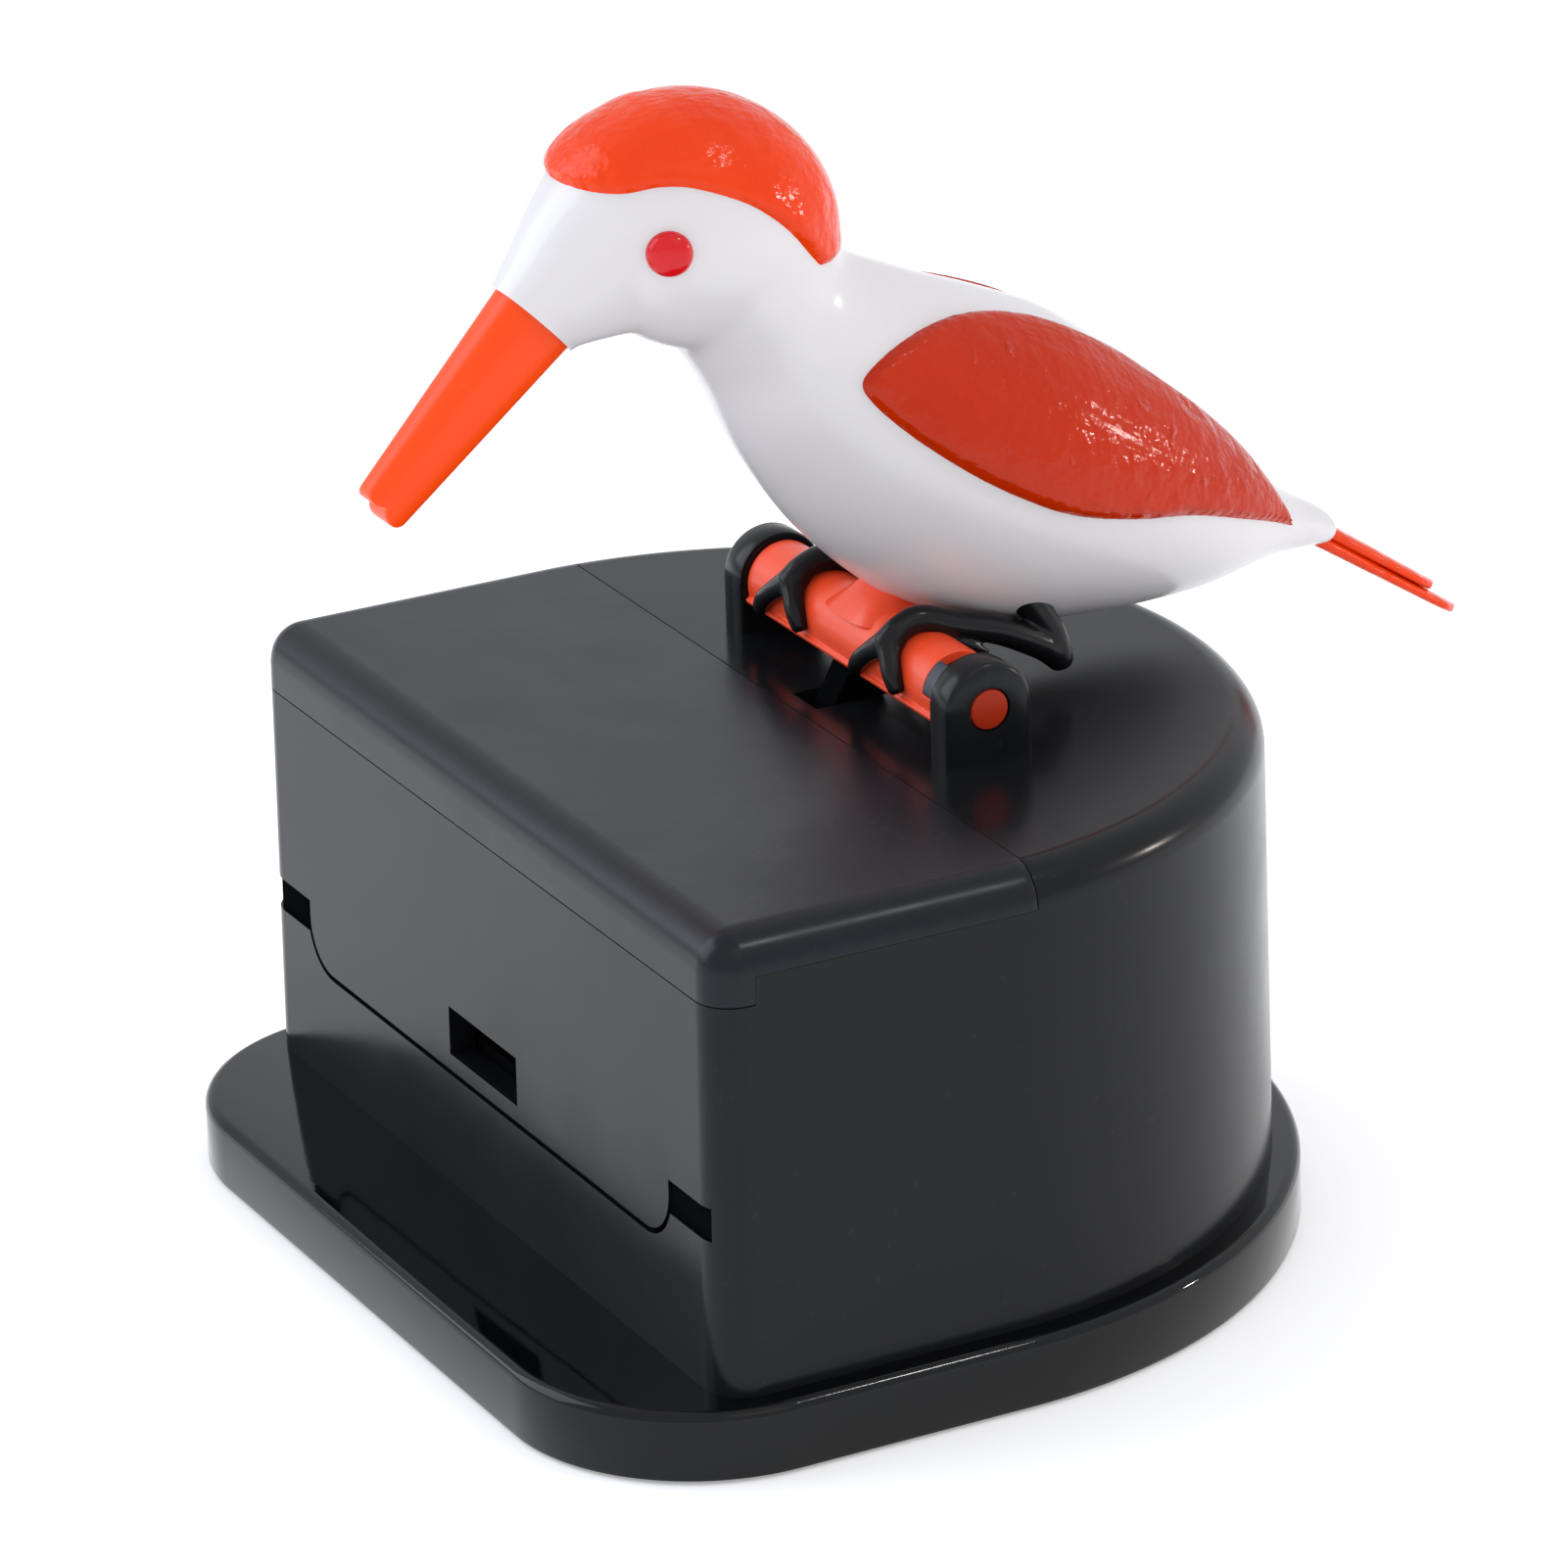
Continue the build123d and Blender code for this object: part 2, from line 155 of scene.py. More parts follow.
def catmull(values, t):
    """Smooth curve through values (tuples) at t from 0 to len - 1."""
    last = len(values) - 1
    i = min(int(t), last - 1)
    f = t - i
    p0, p1 = values[max(i - 1, 0)], values[i]
    p2, p3 = values[i + 1], values[min(i + 2, last)]
    out = []
    for a, b, c, d in zip(p0, p1, p2, p3):
        out.append(0.5 * (2 * b + (c - a) * f + (2 * a - 5 * b + 4 * c - d) * f * f
                          + (3 * b - a - 3 * c + d) * f ** 3))
    return tuple(out)


def swept(name, stations, steps=10, sides=20):
    """Rounded limb through stations (x, y, z, radius), with domed ends."""
    path = []
    count = (len(stations) - 1) * steps
    for i in range(count + 1):
        path.append(catmull(stations, i / steps))
    points = [Vector(p[:3]) for p in path]
    radii = [p[3] for p in path]
    loops = []
    side = None
    for i, p in enumerate(points):
        ahead = points[min(i + 1, count)] - points[max(i - 1, 0)]
        ahead.normalize()
        if side is None:
            side = ahead.orthogonal().normalized()
        side = (side - ahead * side.dot(ahead)).normalized()
        other = ahead.cross(side)
        if i == 0:
            for k in (0.25, 0.62, 0.88):
                shrink = math.sqrt(1 - (1 - k) ** 2)
                loops.append(ring(p - ahead * radii[0] * (1 - k), side, other,
                                  radii[0] * shrink, sides))
        loops.append(ring(p, side, other, radii[i], sides))
        if i == count:
            for k in (0.88, 0.62, 0.25):
                shrink = math.sqrt(1 - (1 - k) ** 2)
                loops.append(ring(p + ahead * radii[-1] * (1 - k), side, other,
                                  radii[-1] * shrink, sides))
    return rings(name, [[tuple(v) for v in loop] for loop in loops], 60.0)


def ring(centre, u, v, radius, sides):
    out = []
    for j in range(sides):
        a = 2 * math.pi * j / sides
        out.append(centre + u * radius * math.cos(a) + v * radius * math.sin(a))
    return out


def finish_piece(obj, material, body, slot, *nodes):
    obj.data.materials.clear()
    obj.data.materials.append(material)
    if nodes:
        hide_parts(*nodes)
    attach(obj, body)
    return obj


# ---------------------------------------------------------------- materials
def material(name, colour, rough, coat=0.0, sss=0.0):
    mat = bpy.data.materials.new(name)
    mat.use_nodes = True
    nodes = mat.node_tree.nodes
    bsdf = nodes["Principled BSDF"]
    bsdf.inputs["Base Color"].default_value = (*colour, 1)
    bsdf.inputs["Roughness"].default_value = rough
    bsdf.inputs["Coat Weight"].default_value = coat
    bsdf.inputs["Coat Roughness"].default_value = 0.04
    if sss:
        bsdf.inputs["Subsurface Weight"].default_value = sss
        bsdf.inputs["Subsurface Radius"].default_value = (0.004, 0.003, 0.0028)
        bsdf.inputs["Subsurface Scale"].default_value = 0.5
    return mat, nodes, mat.node_tree.links, bsdf


def noise(nodes, links, scale, detail=4.0, rough=0.55, stretch=(1, 1, 1), turn=(0, 0, 0)):
    """Noise in object coordinates, scale in waves per metre."""
    coord = nodes.new("ShaderNodeTexCoord")
    mapping = nodes.new("ShaderNodeMapping")
    mapping.vector_type = "TEXTURE"
    mapping.inputs["Scale"].default_value = [1 / v for v in stretch]
    mapping.inputs["Rotation"].default_value = turn
    links.new(coord.outputs["Object"], mapping.inputs["Vector"])
    tex = nodes.new("ShaderNodeTexNoise")
    tex.inputs["Scale"].default_value = scale
    tex.inputs["Detail"].default_value = detail
    tex.inputs["Roughness"].default_value = rough
    links.new(mapping.outputs["Vector"], tex.inputs["Vector"])
    return tex.outputs[0]


def remap(nodes, links, value, low, high, a=0.3, b=0.7):
    node = nodes.new("ShaderNodeMapRange")
    node.inputs["From Min"].default_value = a
    node.inputs["From Max"].default_value = b
    node.inputs["To Min"].default_value = low
    node.inputs["To Max"].default_value = high
    links.new(value, node.inputs["Value"])
    return node.outputs[0]


def tint(nodes, links, value, first, second):
    """Colour from first to second as value goes from 0 to 1."""
    node = nodes.new("ShaderNodeMix")
    node.data_type = "RGBA"
    node.inputs[6].default_value = (*first, 1)
    node.inputs[7].default_value = (*second, 1)
    links.new(value, node.inputs[0])
    return node.outputs[2]


def bump(nodes, links, height, strength, distance, after=None):
    node = nodes.new("ShaderNodeBump")
    node.inputs["Strength"].default_value = strength
    node.inputs["Distance"].default_value = distance
    links.new(height, node.inputs["Height"])
    if after is not None:
        links.new(after, node.inputs["Normal"])
    return node.outputs[0]


def plastic(name, colour, worn, rough_low, rough_high, coat=0.0, sss=0.0, level=0.5, speck=1.6,
            relief=1.0):
    """Moulded plastic: faint tone drift, pale specks, uneven polish and fine orange peel."""
    mat, nodes, links, bsdf = material(name, colour, rough_low, coat, sss)
    bsdf.inputs["Specular IOR Level"].default_value = level
    drift = remap(nodes, links, noise(nodes, links, 38, 3), 0.0, 0.6)
    base = tint(nodes, links, drift, colour, worn)
    specks = remap(nodes, links, noise(nodes, links, 900, 1), 0.0, 0.7, 0.73, 0.78)
    base_node = nodes.new("ShaderNodeMix")
    base_node.data_type = "RGBA"
    links.new(specks, base_node.inputs[0])
    links.new(base, base_node.inputs[6])
    base_node.inputs[7].default_value = (*[min(1.0, c * speck) for c in worn], 1)
    links.new(base_node.outputs[2], bsdf.inputs["Base Color"])
    smear = noise(nodes, links, 120, 3, 0.5)
    links.new(remap(nodes, links, smear, rough_low, rough_high), bsdf.inputs["Roughness"])
    peel = bump(nodes, links, noise(nodes, links, 160, 2), 0.04 * relief, 0.0003)
    fine = bump(nodes, links, noise(nodes, links, 2600, 3), 0.05 * relief, 0.00006, peel)
    links.new(fine, bsdf.inputs["Normal"])
    return mat


def paint(name, colour, deep, along):
    """Thick gloss paint put on by brush: tone streaks, ridges and small drops."""
    mat, nodes, links, bsdf = material(name, colour, 0.2, 0.06)
    bsdf.inputs["Specular IOR Level"].default_value = 0.2
    streak = noise(nodes, links, 900, 3, 0.5, (1.0, 0.07, 1.0), along)
    cloud = noise(nodes, links, 45, 3)
    base = tint(nodes, links, remap(nodes, links, cloud, 0.0, 0.75), colour, deep)
    links.new(base, bsdf.inputs["Base Color"])
    links.new(remap(nodes, links, streak, 0.10, 0.22), bsdf.inputs["Roughness"])
    ridges = bump(nodes, links, streak, 0.35, 0.0004)
    lumps = bump(nodes, links, noise(nodes, links, 520, 2), 0.6, 0.0005, ridges)
    drops = remap(nodes, links, noise(nodes, links, 420, 1), 0.0, 1.0, 0.70, 0.76)
    links.new(bump(nodes, links, drops, 0.5, 0.0003, lumps), bsdf.inputs["Normal"])
    return mat


black_wall = plastic("black wall", (0.0055, 0.006, 0.0075), (0.008, 0.0085, 0.010), 0.16, 0.24,
                     level=0.2)
black_top = plastic("black top", (0.004, 0.005, 0.009), (0.006, 0.0075, 0.013), 0.24, 0.32,
                    level=0.26)
black_base = plastic("black base", (0.0015, 0.0018, 0.0022), (0.003, 0.0034, 0.004), 0.04, 0.08,
                     level=0.28)
black_foot = plastic("black foot", (0.004, 0.0045, 0.0055), (0.009, 0.010, 0.011), 0.16, 0.28,
                     level=0.25)
white = plastic("white body", (0.73, 0.71, 0.725), (0.715, 0.695, 0.705), 0.24, 0.26, 0.1, 0.15,
                speck=1.0, relief=0.15)
orange = plastic("orange beak", (0.98, 0.072, 0.003), (0.93, 0.058, 0.002), 0.24, 0.34, 0.05, 0.1,
                 level=0.25)
perch_orange = plastic("orange perch", (0.97, 0.085, 0.024), (0.88, 0.065, 0.016), 0.22, 0.34)
red_paint = paint("wing paint", (0.53, 0.026, 0.0), (0.45, 0.018, 0.0), (-0.5, 0, 0))
cap_paint = paint("cap paint", (0.88, 0.054, 0.001), (0.70, 0.032, 0.001), (-0.45, 0, 0))
eye_red = plastic("eye red", (0.70, 0.005, 0.010), (0.55, 0.004, 0.008), 0.12, 0.22, 0.15,
                  level=0.3)
journal_orange = plastic("orange journal", (0.42, 0.028, 0.006), (0.34, 0.022, 0.005), 0.24, 0.36,
                         level=0.2)
key_grey = plastic("key grey", (0.045, 0.055, 0.068), (0.055, 0.065, 0.080), 0.25, 0.4, level=0.3)
grey = plastic("inner grey", (0.025, 0.026, 0.028), (0.035, 0.036, 0.038), 0.38, 0.55)
# Near black with no specular: the inner parts' own black, and painted shade on the notch sheet.
dark = plastic("inner black and notch shade", (0.003, 0.0033, 0.004), (0.004, 0.004, 0.004), 0.55, 0.7, level=0.0)
rubber = plastic("pad rubber", (0.012, 0.012, 0.012), (0.020, 0.020, 0.020), 0.75, 0.9)
steel = plastic("plated steel", (0.50, 0.50, 0.51), (0.42, 0.42, 0.43), 0.22, 0.42)
steel.node_tree.nodes["Principled BSDF"].inputs["Metallic"].default_value = 1.0


# ---------------------------------------------------------------- cabinet
HALF, FRONT, TOP, FLOOR = 40.0, -24.7, 43.1, 5.8
CORNER, ROUND, DRAFT = 2.9, 3.1, 0.0108      # front corners, top edge, spread per mm of height
WALL, DECK = 2.0, 2.5
LID_REAR, LID_SIDE, LID_SKIRT, SKIRT_DEPTH = 2.9, 39.9, 37.7, 3.5
PANEL_HALF, PANEL_LOW, PANEL_CORNER, SLIT = 31.9, 15.85, 4.0, 0.45
NOTCH_LOW, NOTCH_HIGH = 18.4, 21.15
WINDOW_HALF, WINDOW_LOW, WINDOW_HIGH = 6.0, 17.25, 21.35
BASE_HALF, BASE_FRONT, BASE_CORNER, BASE_EDGE = 42.65, -36.1, 16.2, 0.9
PAD_PLACES = ((-24.0, -27.0), (24.0, -27.0), (-14.0, 32.0), (14.0, 32.0))
SCREW_PLACES = ((-33.0, -16.0), (33.0, -16.0), (-27.0, 24.0), (27.0, 24.0))
FAR = 60                                     # past every outside face


def plan_loop(half, front, r, steps, z):
    """Plan with straight front and sides, two rounded front corners, half-round rear."""
    out = []
    for cx, a0 in ((-half + r, 180), (half - r, 270)):
        for k in range(steps + 1):
            a = math.radians(a0 + 90 * k / steps)
            out.append((cx + r * math.cos(a), front + r + r * math.sin(a), z))
    for k in range(161):
        a = math.pi * k / 160
        out.append((half * math.cos(a), half * math.sin(a), z))
    return out


def d_loop(grow, z):
    return plan_loop(HALF + grow, FRONT - grow, max(CORNER + grow, 0.4), 12, z)


def base_loop(grow, z):
    return plan_loop(BASE_HALF + grow, BASE_FRONT - grow, BASE_CORNER + grow, 32, z)


def cabinet_solid(name, grow=0.0):
    loops = [d_loop((TOP - z) * DRAFT + grow, z) for z in (FLOOR, 16.0, 28.0, TOP - ROUND)]
    for k in range(1, 13):
        a = math.radians(90 * k / 12)
        inset = ROUND * (1 - math.cos(a))
        loops.append(d_loop(-inset + grow, TOP - ROUND + ROUND * math.sin(a)))
    return rings(name, loops, 30.0)


def hollow(obj):
    inner = rings("inner", [d_loop(-WALL, 3.0), d_loop(-WALL, TOP - DECK)])
    return combine(obj, inner, "DIFFERENCE")


def slit_outline(grow):
    """U-shaped lower edge of the front panel."""
    half, low, r = PANEL_HALF + grow, PANEL_LOW - grow, PANEL_CORNER + grow
    out = [(-half, 30.0)]
    for k in range(13):
        a = math.radians(180 + 90 * k / 12)
        out.append((-half + r + r * math.cos(a), low + r + r * math.sin(a)))
    for k in range(13):
        a = math.radians(270 + 90 * k / 12)
        out.append((half - r + r * math.cos(a), low + r + r * math.sin(a)))
    out.append((half, 30.0))
    return out


# The housing is cut a hair wider than the lid, which leaves the thin seam between them.
housing = hollow(cabinet_solid("housing_shell"))
combine(housing, box("c", -FAR, FAR, -FAR, LID_REAR + 0.1, LID_SIDE - 0.03, FAR), "DIFFERENCE")
combine(housing, box("c", -FAR, FAR, -FAR, FRONT + SKIRT_DEPTH + 0.02, LID_SKIRT - 0.1, FAR),
        "DIFFERENCE")
slit = prism("slit", slit_outline(SLIT), "Y", -30, FRONT + 3)
combine(slit, prism("c", slit_outline(0.0), "Y", -31, FRONT + 4), "DIFFERENCE")
combine(slit, box("c", -50, 50, -40, 0, 20.4, 40), "DIFFERENCE")
combine(housing, slit, "DIFFERENCE")
for s, reach, depth in ((-1, 46.0, 0.75), (1, 38.4, 1.2)):
    x0, x1 = sorted((s * PANEL_HALF, s * reach))
    combine(housing, box("c", x0, x1, -32, FRONT + depth, NOTCH_LOW, NOTCH_HIGH), "DIFFERENCE")
window = box("c", -WINDOW_HALF, WINDOW_HALF, -32, FRONT + 3.5, WINDOW_LOW, WINDOW_HIGH)
combine(housing, window, "DIFFERENCE")
crank_slot = box("c", -2.0, 2.0, 4.4, 17.2, 38, 46)
combine(housing, crank_slot, "DIFFERENCE")
soften(housing, 0.06)
finish_piece(housing, black_wall, "cabinet", "black_gloss", "housing")

# The two corner notches end against a dark sheet set back from the outside; the sheet is painted
# shade that makes the shallow notches look as dark as openings.
notch_shade_sheet = cabinet_solid("notch_painted_shade", -0.2)
keep = box("k", 31.5, 46, -32, FRONT + 1.1, NOTCH_LOW - 0.3, NOTCH_HIGH + 0.3)
other_side = box("c", -46, -31.5, -32, FRONT + 1.1, NOTCH_LOW - 0.3, NOTCH_HIGH + 0.3)
combine(keep, other_side, "UNION")
combine(notch_shade_sheet, keep, "INTERSECT")
finish_piece(notch_shade_sheet, dark, "cabinet", "inner_grey")

lid = hollow(cabinet_solid("lid_shell"))
combine(lid, box("c", -FAR, FAR, LID_REAR, FAR, 0, FAR), "DIFFERENCE")
keep = box("k", -FAR, FAR, -FAR, 4, LID_SIDE, FAR)
combine(keep, box("c", -FAR, FAR, -FAR, FRONT + SKIRT_DEPTH, LID_SKIRT, 45), "UNION")
combine(lid, keep, "INTERSECT")
soften(lid, 0.06)
finish_piece(lid, black_top, "cabinet", "black_gloss", "lid")


def recess(obj, x, y, radius, depth):
    """Round blind hole in the underside."""
    rim = [(x + radius * math.cos(k / 20 * math.pi), y + radius * math.sin(k / 20 * math.pi))
           for k in range(40)]
    combine(obj, prism("c", rim, "Z", -1.0, depth), "DIFFERENCE")


loops = [base_loop(-0.5, 0.0), base_loop(-0.15, 0.15), base_loop(0.0, 0.5)]
for k in range(9):
    a = math.radians(90 * k / 8)
    loops.append(base_loop(-BASE_EDGE * (1 - math.cos(a)),
                           FLOOR - BASE_EDGE + BASE_EDGE * math.sin(a)))
base = rings("base_slab", loops, 35.0)
for x, y in PAD_PLACES:
    recess(base, x, y, 4.5, 0.8)
for x, y in SCREW_PLACES:
    recess(base, x, y, 2.9, 2.2)
tidy(base, 35.0)
finish_piece(base, black_base, "cabinet", "black_gloss", "base_plate")


# ---------------------------------------------------------------- perch
POST_R = 3.8
KEY_FROM, KEY_TO = 120, 172                  # stop key, degrees round the perch axis
CUT_FROM, CUT_TO = 62, 176                   # notch of the tube's end


def polar(r, angle):
    """Side-view point (y, z) at an angle round the perch axis, from +Y towards +Z."""
    a = math.radians(angle)
    return (PIVOT[0] + r * math.cos(a), PIVOT[1] + r * math.sin(a))


def tombstone(grow):
    r = POST_R + grow
    out = [(PIVOT[0] + r, TOP - 0.4)]
    for k in range(25):
        out.append(polar(r, 180 * k / 24))
    out.append((PIVOT[0] - r, TOP - 0.4))
    return out


for s, tag in ((-1, "left"), (1, "right")):
    loops = []
    for depth, grow in ((15.7, -0.35), (15.8, -0.1), (16.0, 0.0), (18.3, 0.0),
                        (18.55, -0.12), (18.7, -0.4)):
        loops.append([(s * depth, y, z) for y, z in tombstone(grow)])
    post = rings("perch_post_" + tag, loops, 50.0)
    bore = [polar(1.78, 10 * k) for k in range(36)]
    combine(post, prism("c", bore, "X", -20, 20), "DIFFERENCE")
    tidy(post, 40.0)
    finish_piece(post, black_foot, "cabinet", "black_gloss", "post_" + tag)

tab = [polar(1.95, KEY_FROM)]
tab += [polar(3.4, KEY_FROM + (KEY_TO - KEY_FROM) * k / 8) for k in range(9)]
tab += [polar(1.95, KEY_TO)]
key = prism("stop_tab", tab, "X", 13.9, 15.9)
soften(key, 0.12)
finish_piece(key, key_grey, "cabinet", "inner_grey", "stop_key")


def shell_profile():
    """Half-round trough section with a small rim along its lower front edge."""
    out = [polar(3.2, a) for a in range(-20, 196, 6)]
    out += [polar(3.25, 197), polar(3.62, 199), polar(3.62, 205), polar(2.5, 206)]
    out += [polar(2.4, a) for a in range(200, -24, -8)]
    return out


tube = prism("perch_shell", shell_profile(), "X", -15.5, 15.5)
notch = [polar(1.8, CUT_FROM), polar(5, CUT_FROM), polar(5, 100), polar(5, 140),
         polar(5, CUT_TO), polar(1.8, CUT_TO)]
combine(tube, prism("c", notch, "X", 13.6, 17), "DIFFERENCE")
soften(tube, 0.12)
journal_loops = []
for x, r in ((-18.75, 1.3), (-18.65, 1.6), (-18.4, 1.7), (-15.6, 1.7), (-15.5, 2.3), (-14.4, 2.3),
             (-14.3, 1.7), (12.9, 1.7), (13.0, 2.3), (13.5, 2.3), (13.6, 1.75), (18.4, 1.7),
             (18.65, 1.6), (18.75, 1.3)):
    journal_loops.append([(x, *polar(r, 10 * k)) for k in range(36)])
core = rings("perch_core", journal_loops, 40.0)
finish_piece(tube, perch_orange, "bird", "orange_gloss", "perch_tube")
finish_piece(core, journal_orange, "bird", "orange_gloss")

loops = []
for z, hx, y0, y1 in ((49.6, 4.6, 7.8, 16.0), (50.4, 3.6, 8.6, 16.2), (51.2, 3.1, 9.8, 16.8),
                      (52.2, 3.0, 11.6, 17.6), (56.5, 3.0, 13.2, 18.6)):
    cy, hy = (y0 + y1) / 2, (y1 - y0) / 2
    loop = []
    for k in range(40):
        a = 2 * math.pi * k / 40
        loop.append((hx * boxy(math.cos(a), 0.6), cy + hy * boxy(math.sin(a), 0.6), z))
    loops.append(loop)
saddle = rings("saddle_neck", loops, 60.0)
finish_piece(saddle, perch_orange, "bird", "orange_gloss", "saddle")


# ---------------------------------------------------------------- legs
def leg(s, tag):
    x = 8.0
    parts = []
    palm = (x, *polar(4.0, 139), 1.3)
    shin = [palm, (x, *polar(4.15, 118), 1.1), (x, *polar(4.1, 92), 1.12),
            (x + 0.2, 13.6, 50.4, 1.15), (x + 0.3, 17.4, 49.2, 1.2), (x + 0.3, 21.0, 47.3, 1.2),
            (x + 0.2, 22.5, 46.1, 1.15)]
    thigh = [(x + 0.2, 22.9, 45.7, 1.15), (x, 22.4, 47.6, 1.2), (x - 0.6, 20.8, 50.6, 1.4),
             (x - 1.6, 19.0, 54.0, 1.7)]
    toe_a = [palm, (x - s * 1.6, *polar(3.95, 155), 0.9), (x - s * 3.3, *polar(3.8, 174), 0.8),
             (x - s * 4.6, *polar(3.55, 192), 0.72), (x - s * 5.3, *polar(3.45, 205), 0.6)]
    toe_b = [palm, (x + s * 0.9, *polar(3.9, 152), 0.92), (x + s * 1.7, *polar(3.8, 167), 0.84),
             (x + s * 2.2, *polar(3.65, 183), 0.74)]
    spur = [(x + 0.1, 12.4, 50.0, 0.9), (x + 0.7, 14.4, 48.8, 0.62), (x + 1.1, 16.0, 47.9, 0.2)]
    for k, path in enumerate((shin, thigh, toe_a, toe_b, spur)):
        flipped = [(s * px, py, pz, r) for px, py, pz, r in path]
        parts.append(swept("leg%d" % k, flipped))
    whole = parts[0]
    for part in parts[1:]:
        combine(whole, part, "UNION")
    whole.name = "leg_foot_" + tag
    melt(whole, 0.16, 6)
    tidy(whole, 80.0)
    finish_piece(whole, black_foot, "bird", "black_gloss", "leg_" + tag)


leg(-1, "left")
leg(1, "right")

# ---------------------------------------------------------------- bird's skin
# y, z, half width and half depth of the cross-sections, from neck to tail and from head to bill
SPINE = [
    (-3.6, 84.2, 7.6, 6.8),
    (-0.7, 80.4, 8.5, 7.6),
    (2.1, 76.1, 8.4, 7.4),
    (7.0, 70.6, 10.2, 9.7),
    (13.4, 65.1, 12.0, 12.0),
    (21.2, 60.2, 12.4, 12.9),
    (30.6, 56.3, 11.0, 10.6),
    (39.0, 52.9, 8.4, 7.0),
    (46.2, 50.5, 4.9, 3.1),
    (50.6, 49.1, 3.5, 1.7),
    (52.0, 48.7, 3.1, 1.3),
]
SNOUT = [(-4.0, 88.0, 6.5, 7.5), (-9.0, 85.2, 7.2, 8.2), (-13.5, 82.6, 5.3, 6.5),
         (-16.8, 80.4, 3.9, 4.6), (-18.6, 78.8, 3.15, 3.9), (-23.0, 74.6, 2.6, 3.3)]
BEAK_ROOT, BEAK_TIP = (-18.2, 79.2), (-31.6, 66.4)
BEAK_HALF_WIDTH, BEAK_HALF_DEPTH = (2.75, 1.75), (3.45, 2.15)      # at root and tip


def skin(name, spine, steps, sides, power=2.0):
    """Limb whose sections stand square to a path in the side view."""
    count = (len(spine) - 1) * steps
    centres = [catmull(spine, i / steps) for i in range(count + 1)]
    loops = []
    for i, (y, z, w, d) in enumerate(centres):
        y0, z0 = centres[max(i - 1, 0)][:2]
        y1, z1 = centres[min(i + 1, count)][:2]
        length = math.hypot(y1 - y0, z1 - z0)
        ny, nz = -(z1 - z0) / length, (y1 - y0) / length
        loop = []
        for k in range(sides):
            a = 2 * math.pi * k / sides
            c, s = boxy(math.cos(a), 2 / power), boxy(math.sin(a), 2 / power)
            loop.append((w * c, y + d * s * ny, z + d * s * nz))
        loops.append(loop)
    return rings(name, loops, 80.0)


def egg(name, centre, long_r, short_r, half_w, tilt, steps=36, sides=64):
    """Head dome: an egg with its long axis turned in the side view."""
    ly, lz = math.cos(tilt), math.sin(tilt)
    loops = []
    for i in range(1, steps):
        a = math.pi * i / steps
        along, r = long_r * math.cos(a), math.sin(a)
        loop = []
        for k in range(sides):
            b = 2 * math.pi * k / sides
            across = short_r * r * math.sin(b)
            loop.append((half_w * r * math.cos(b), centre[0] + along * ly - across * lz,
                         centre[1] + along * lz + across * ly))
        loops.append(loop)
    return rings(name, loops, 80.0)


body = skin("bird_body", SPINE, 8, 64)
combine(body, egg("head", (-4.07, 84.4), 11.52, 9.77, 9.1, -0.48), "UNION")
combine(body, skin("snout", SNOUT, 8, 48, 2.5), "UNION")
melt(body, 0.38, 22)

# The white skin ends in a clean flat face where the bill begins.
axis = Vector((0, BEAK_TIP[0] - BEAK_ROOT[0], BEAK_TIP[1] - BEAK_ROOT[1])).normalized()
up = Vector((0, axis.z, -axis.y))


def by_bill(origin, along, across):
    """Side-view point at a distance along the bill's axis and across it."""
    p = Vector((0, *origin)) + axis * along + up * across
    return (p.y, p.z)


face = [by_bill(BEAK_ROOT, 0, -7), by_bill(BEAK_ROOT, 14, -7), by_bill(BEAK_ROOT, 14, 7),
        by_bill(BEAK_ROOT, 0, 7)]
combine(body, prism("c", face, "X", -12, 12), "DIFFERENCE")
tidy(body, 50.0)


def edge_distance(p, outline):
    """Signed distance of a side-view point to a closed outline (positive inside)
    and the nearest point of that outline."""
    y, z = p
    inside = False
    best, nearest = 1e9, p
    n = len(outline)
    for i in range(n):
        ay, az = outline[i]
        by, bz = outline[(i + 1) % n]
        if (az > z) != (bz > z) and y < (by - ay) * (z - az) / (bz - az) + ay:
            inside = not inside
        ey, ez = by - ay, bz - az
        t = max(0.0, min(1.0, ((y - ay) * ey + (z - az) * ez) / (ey * ey + ez * ez)))
        gap = math.hypot(y - ay - t * ey, z - az - t * ez)
        if gap < best:
            best, nearest = gap, (ay + t * ey, az + t * ez)
    return (best if inside else -best), nearest


def smooth_outline(points, steps=6):
    """Closed smooth outline; a point given twice stays a corner."""
    out = []
    n = len(points)
    for i in range(n):
        p0, p1 = points[i - 1], points[i]
        p2, p3 = points[(i + 1) % n], points[(i + 2) % n]
        if p1 == p2:
            continue
        for k in range(steps):
            out.append(catmull([p0, p1, p2, p3], 1 + k / steps))
    return out


SNAP = 0.24            # skin points this close to the outline move onto it
MAX_MOVE = 0.6         # but never further than this
RIM = 0.03             # height of the coat at its edge
TUCK = 0.3             # how far its outermost points go below the skin


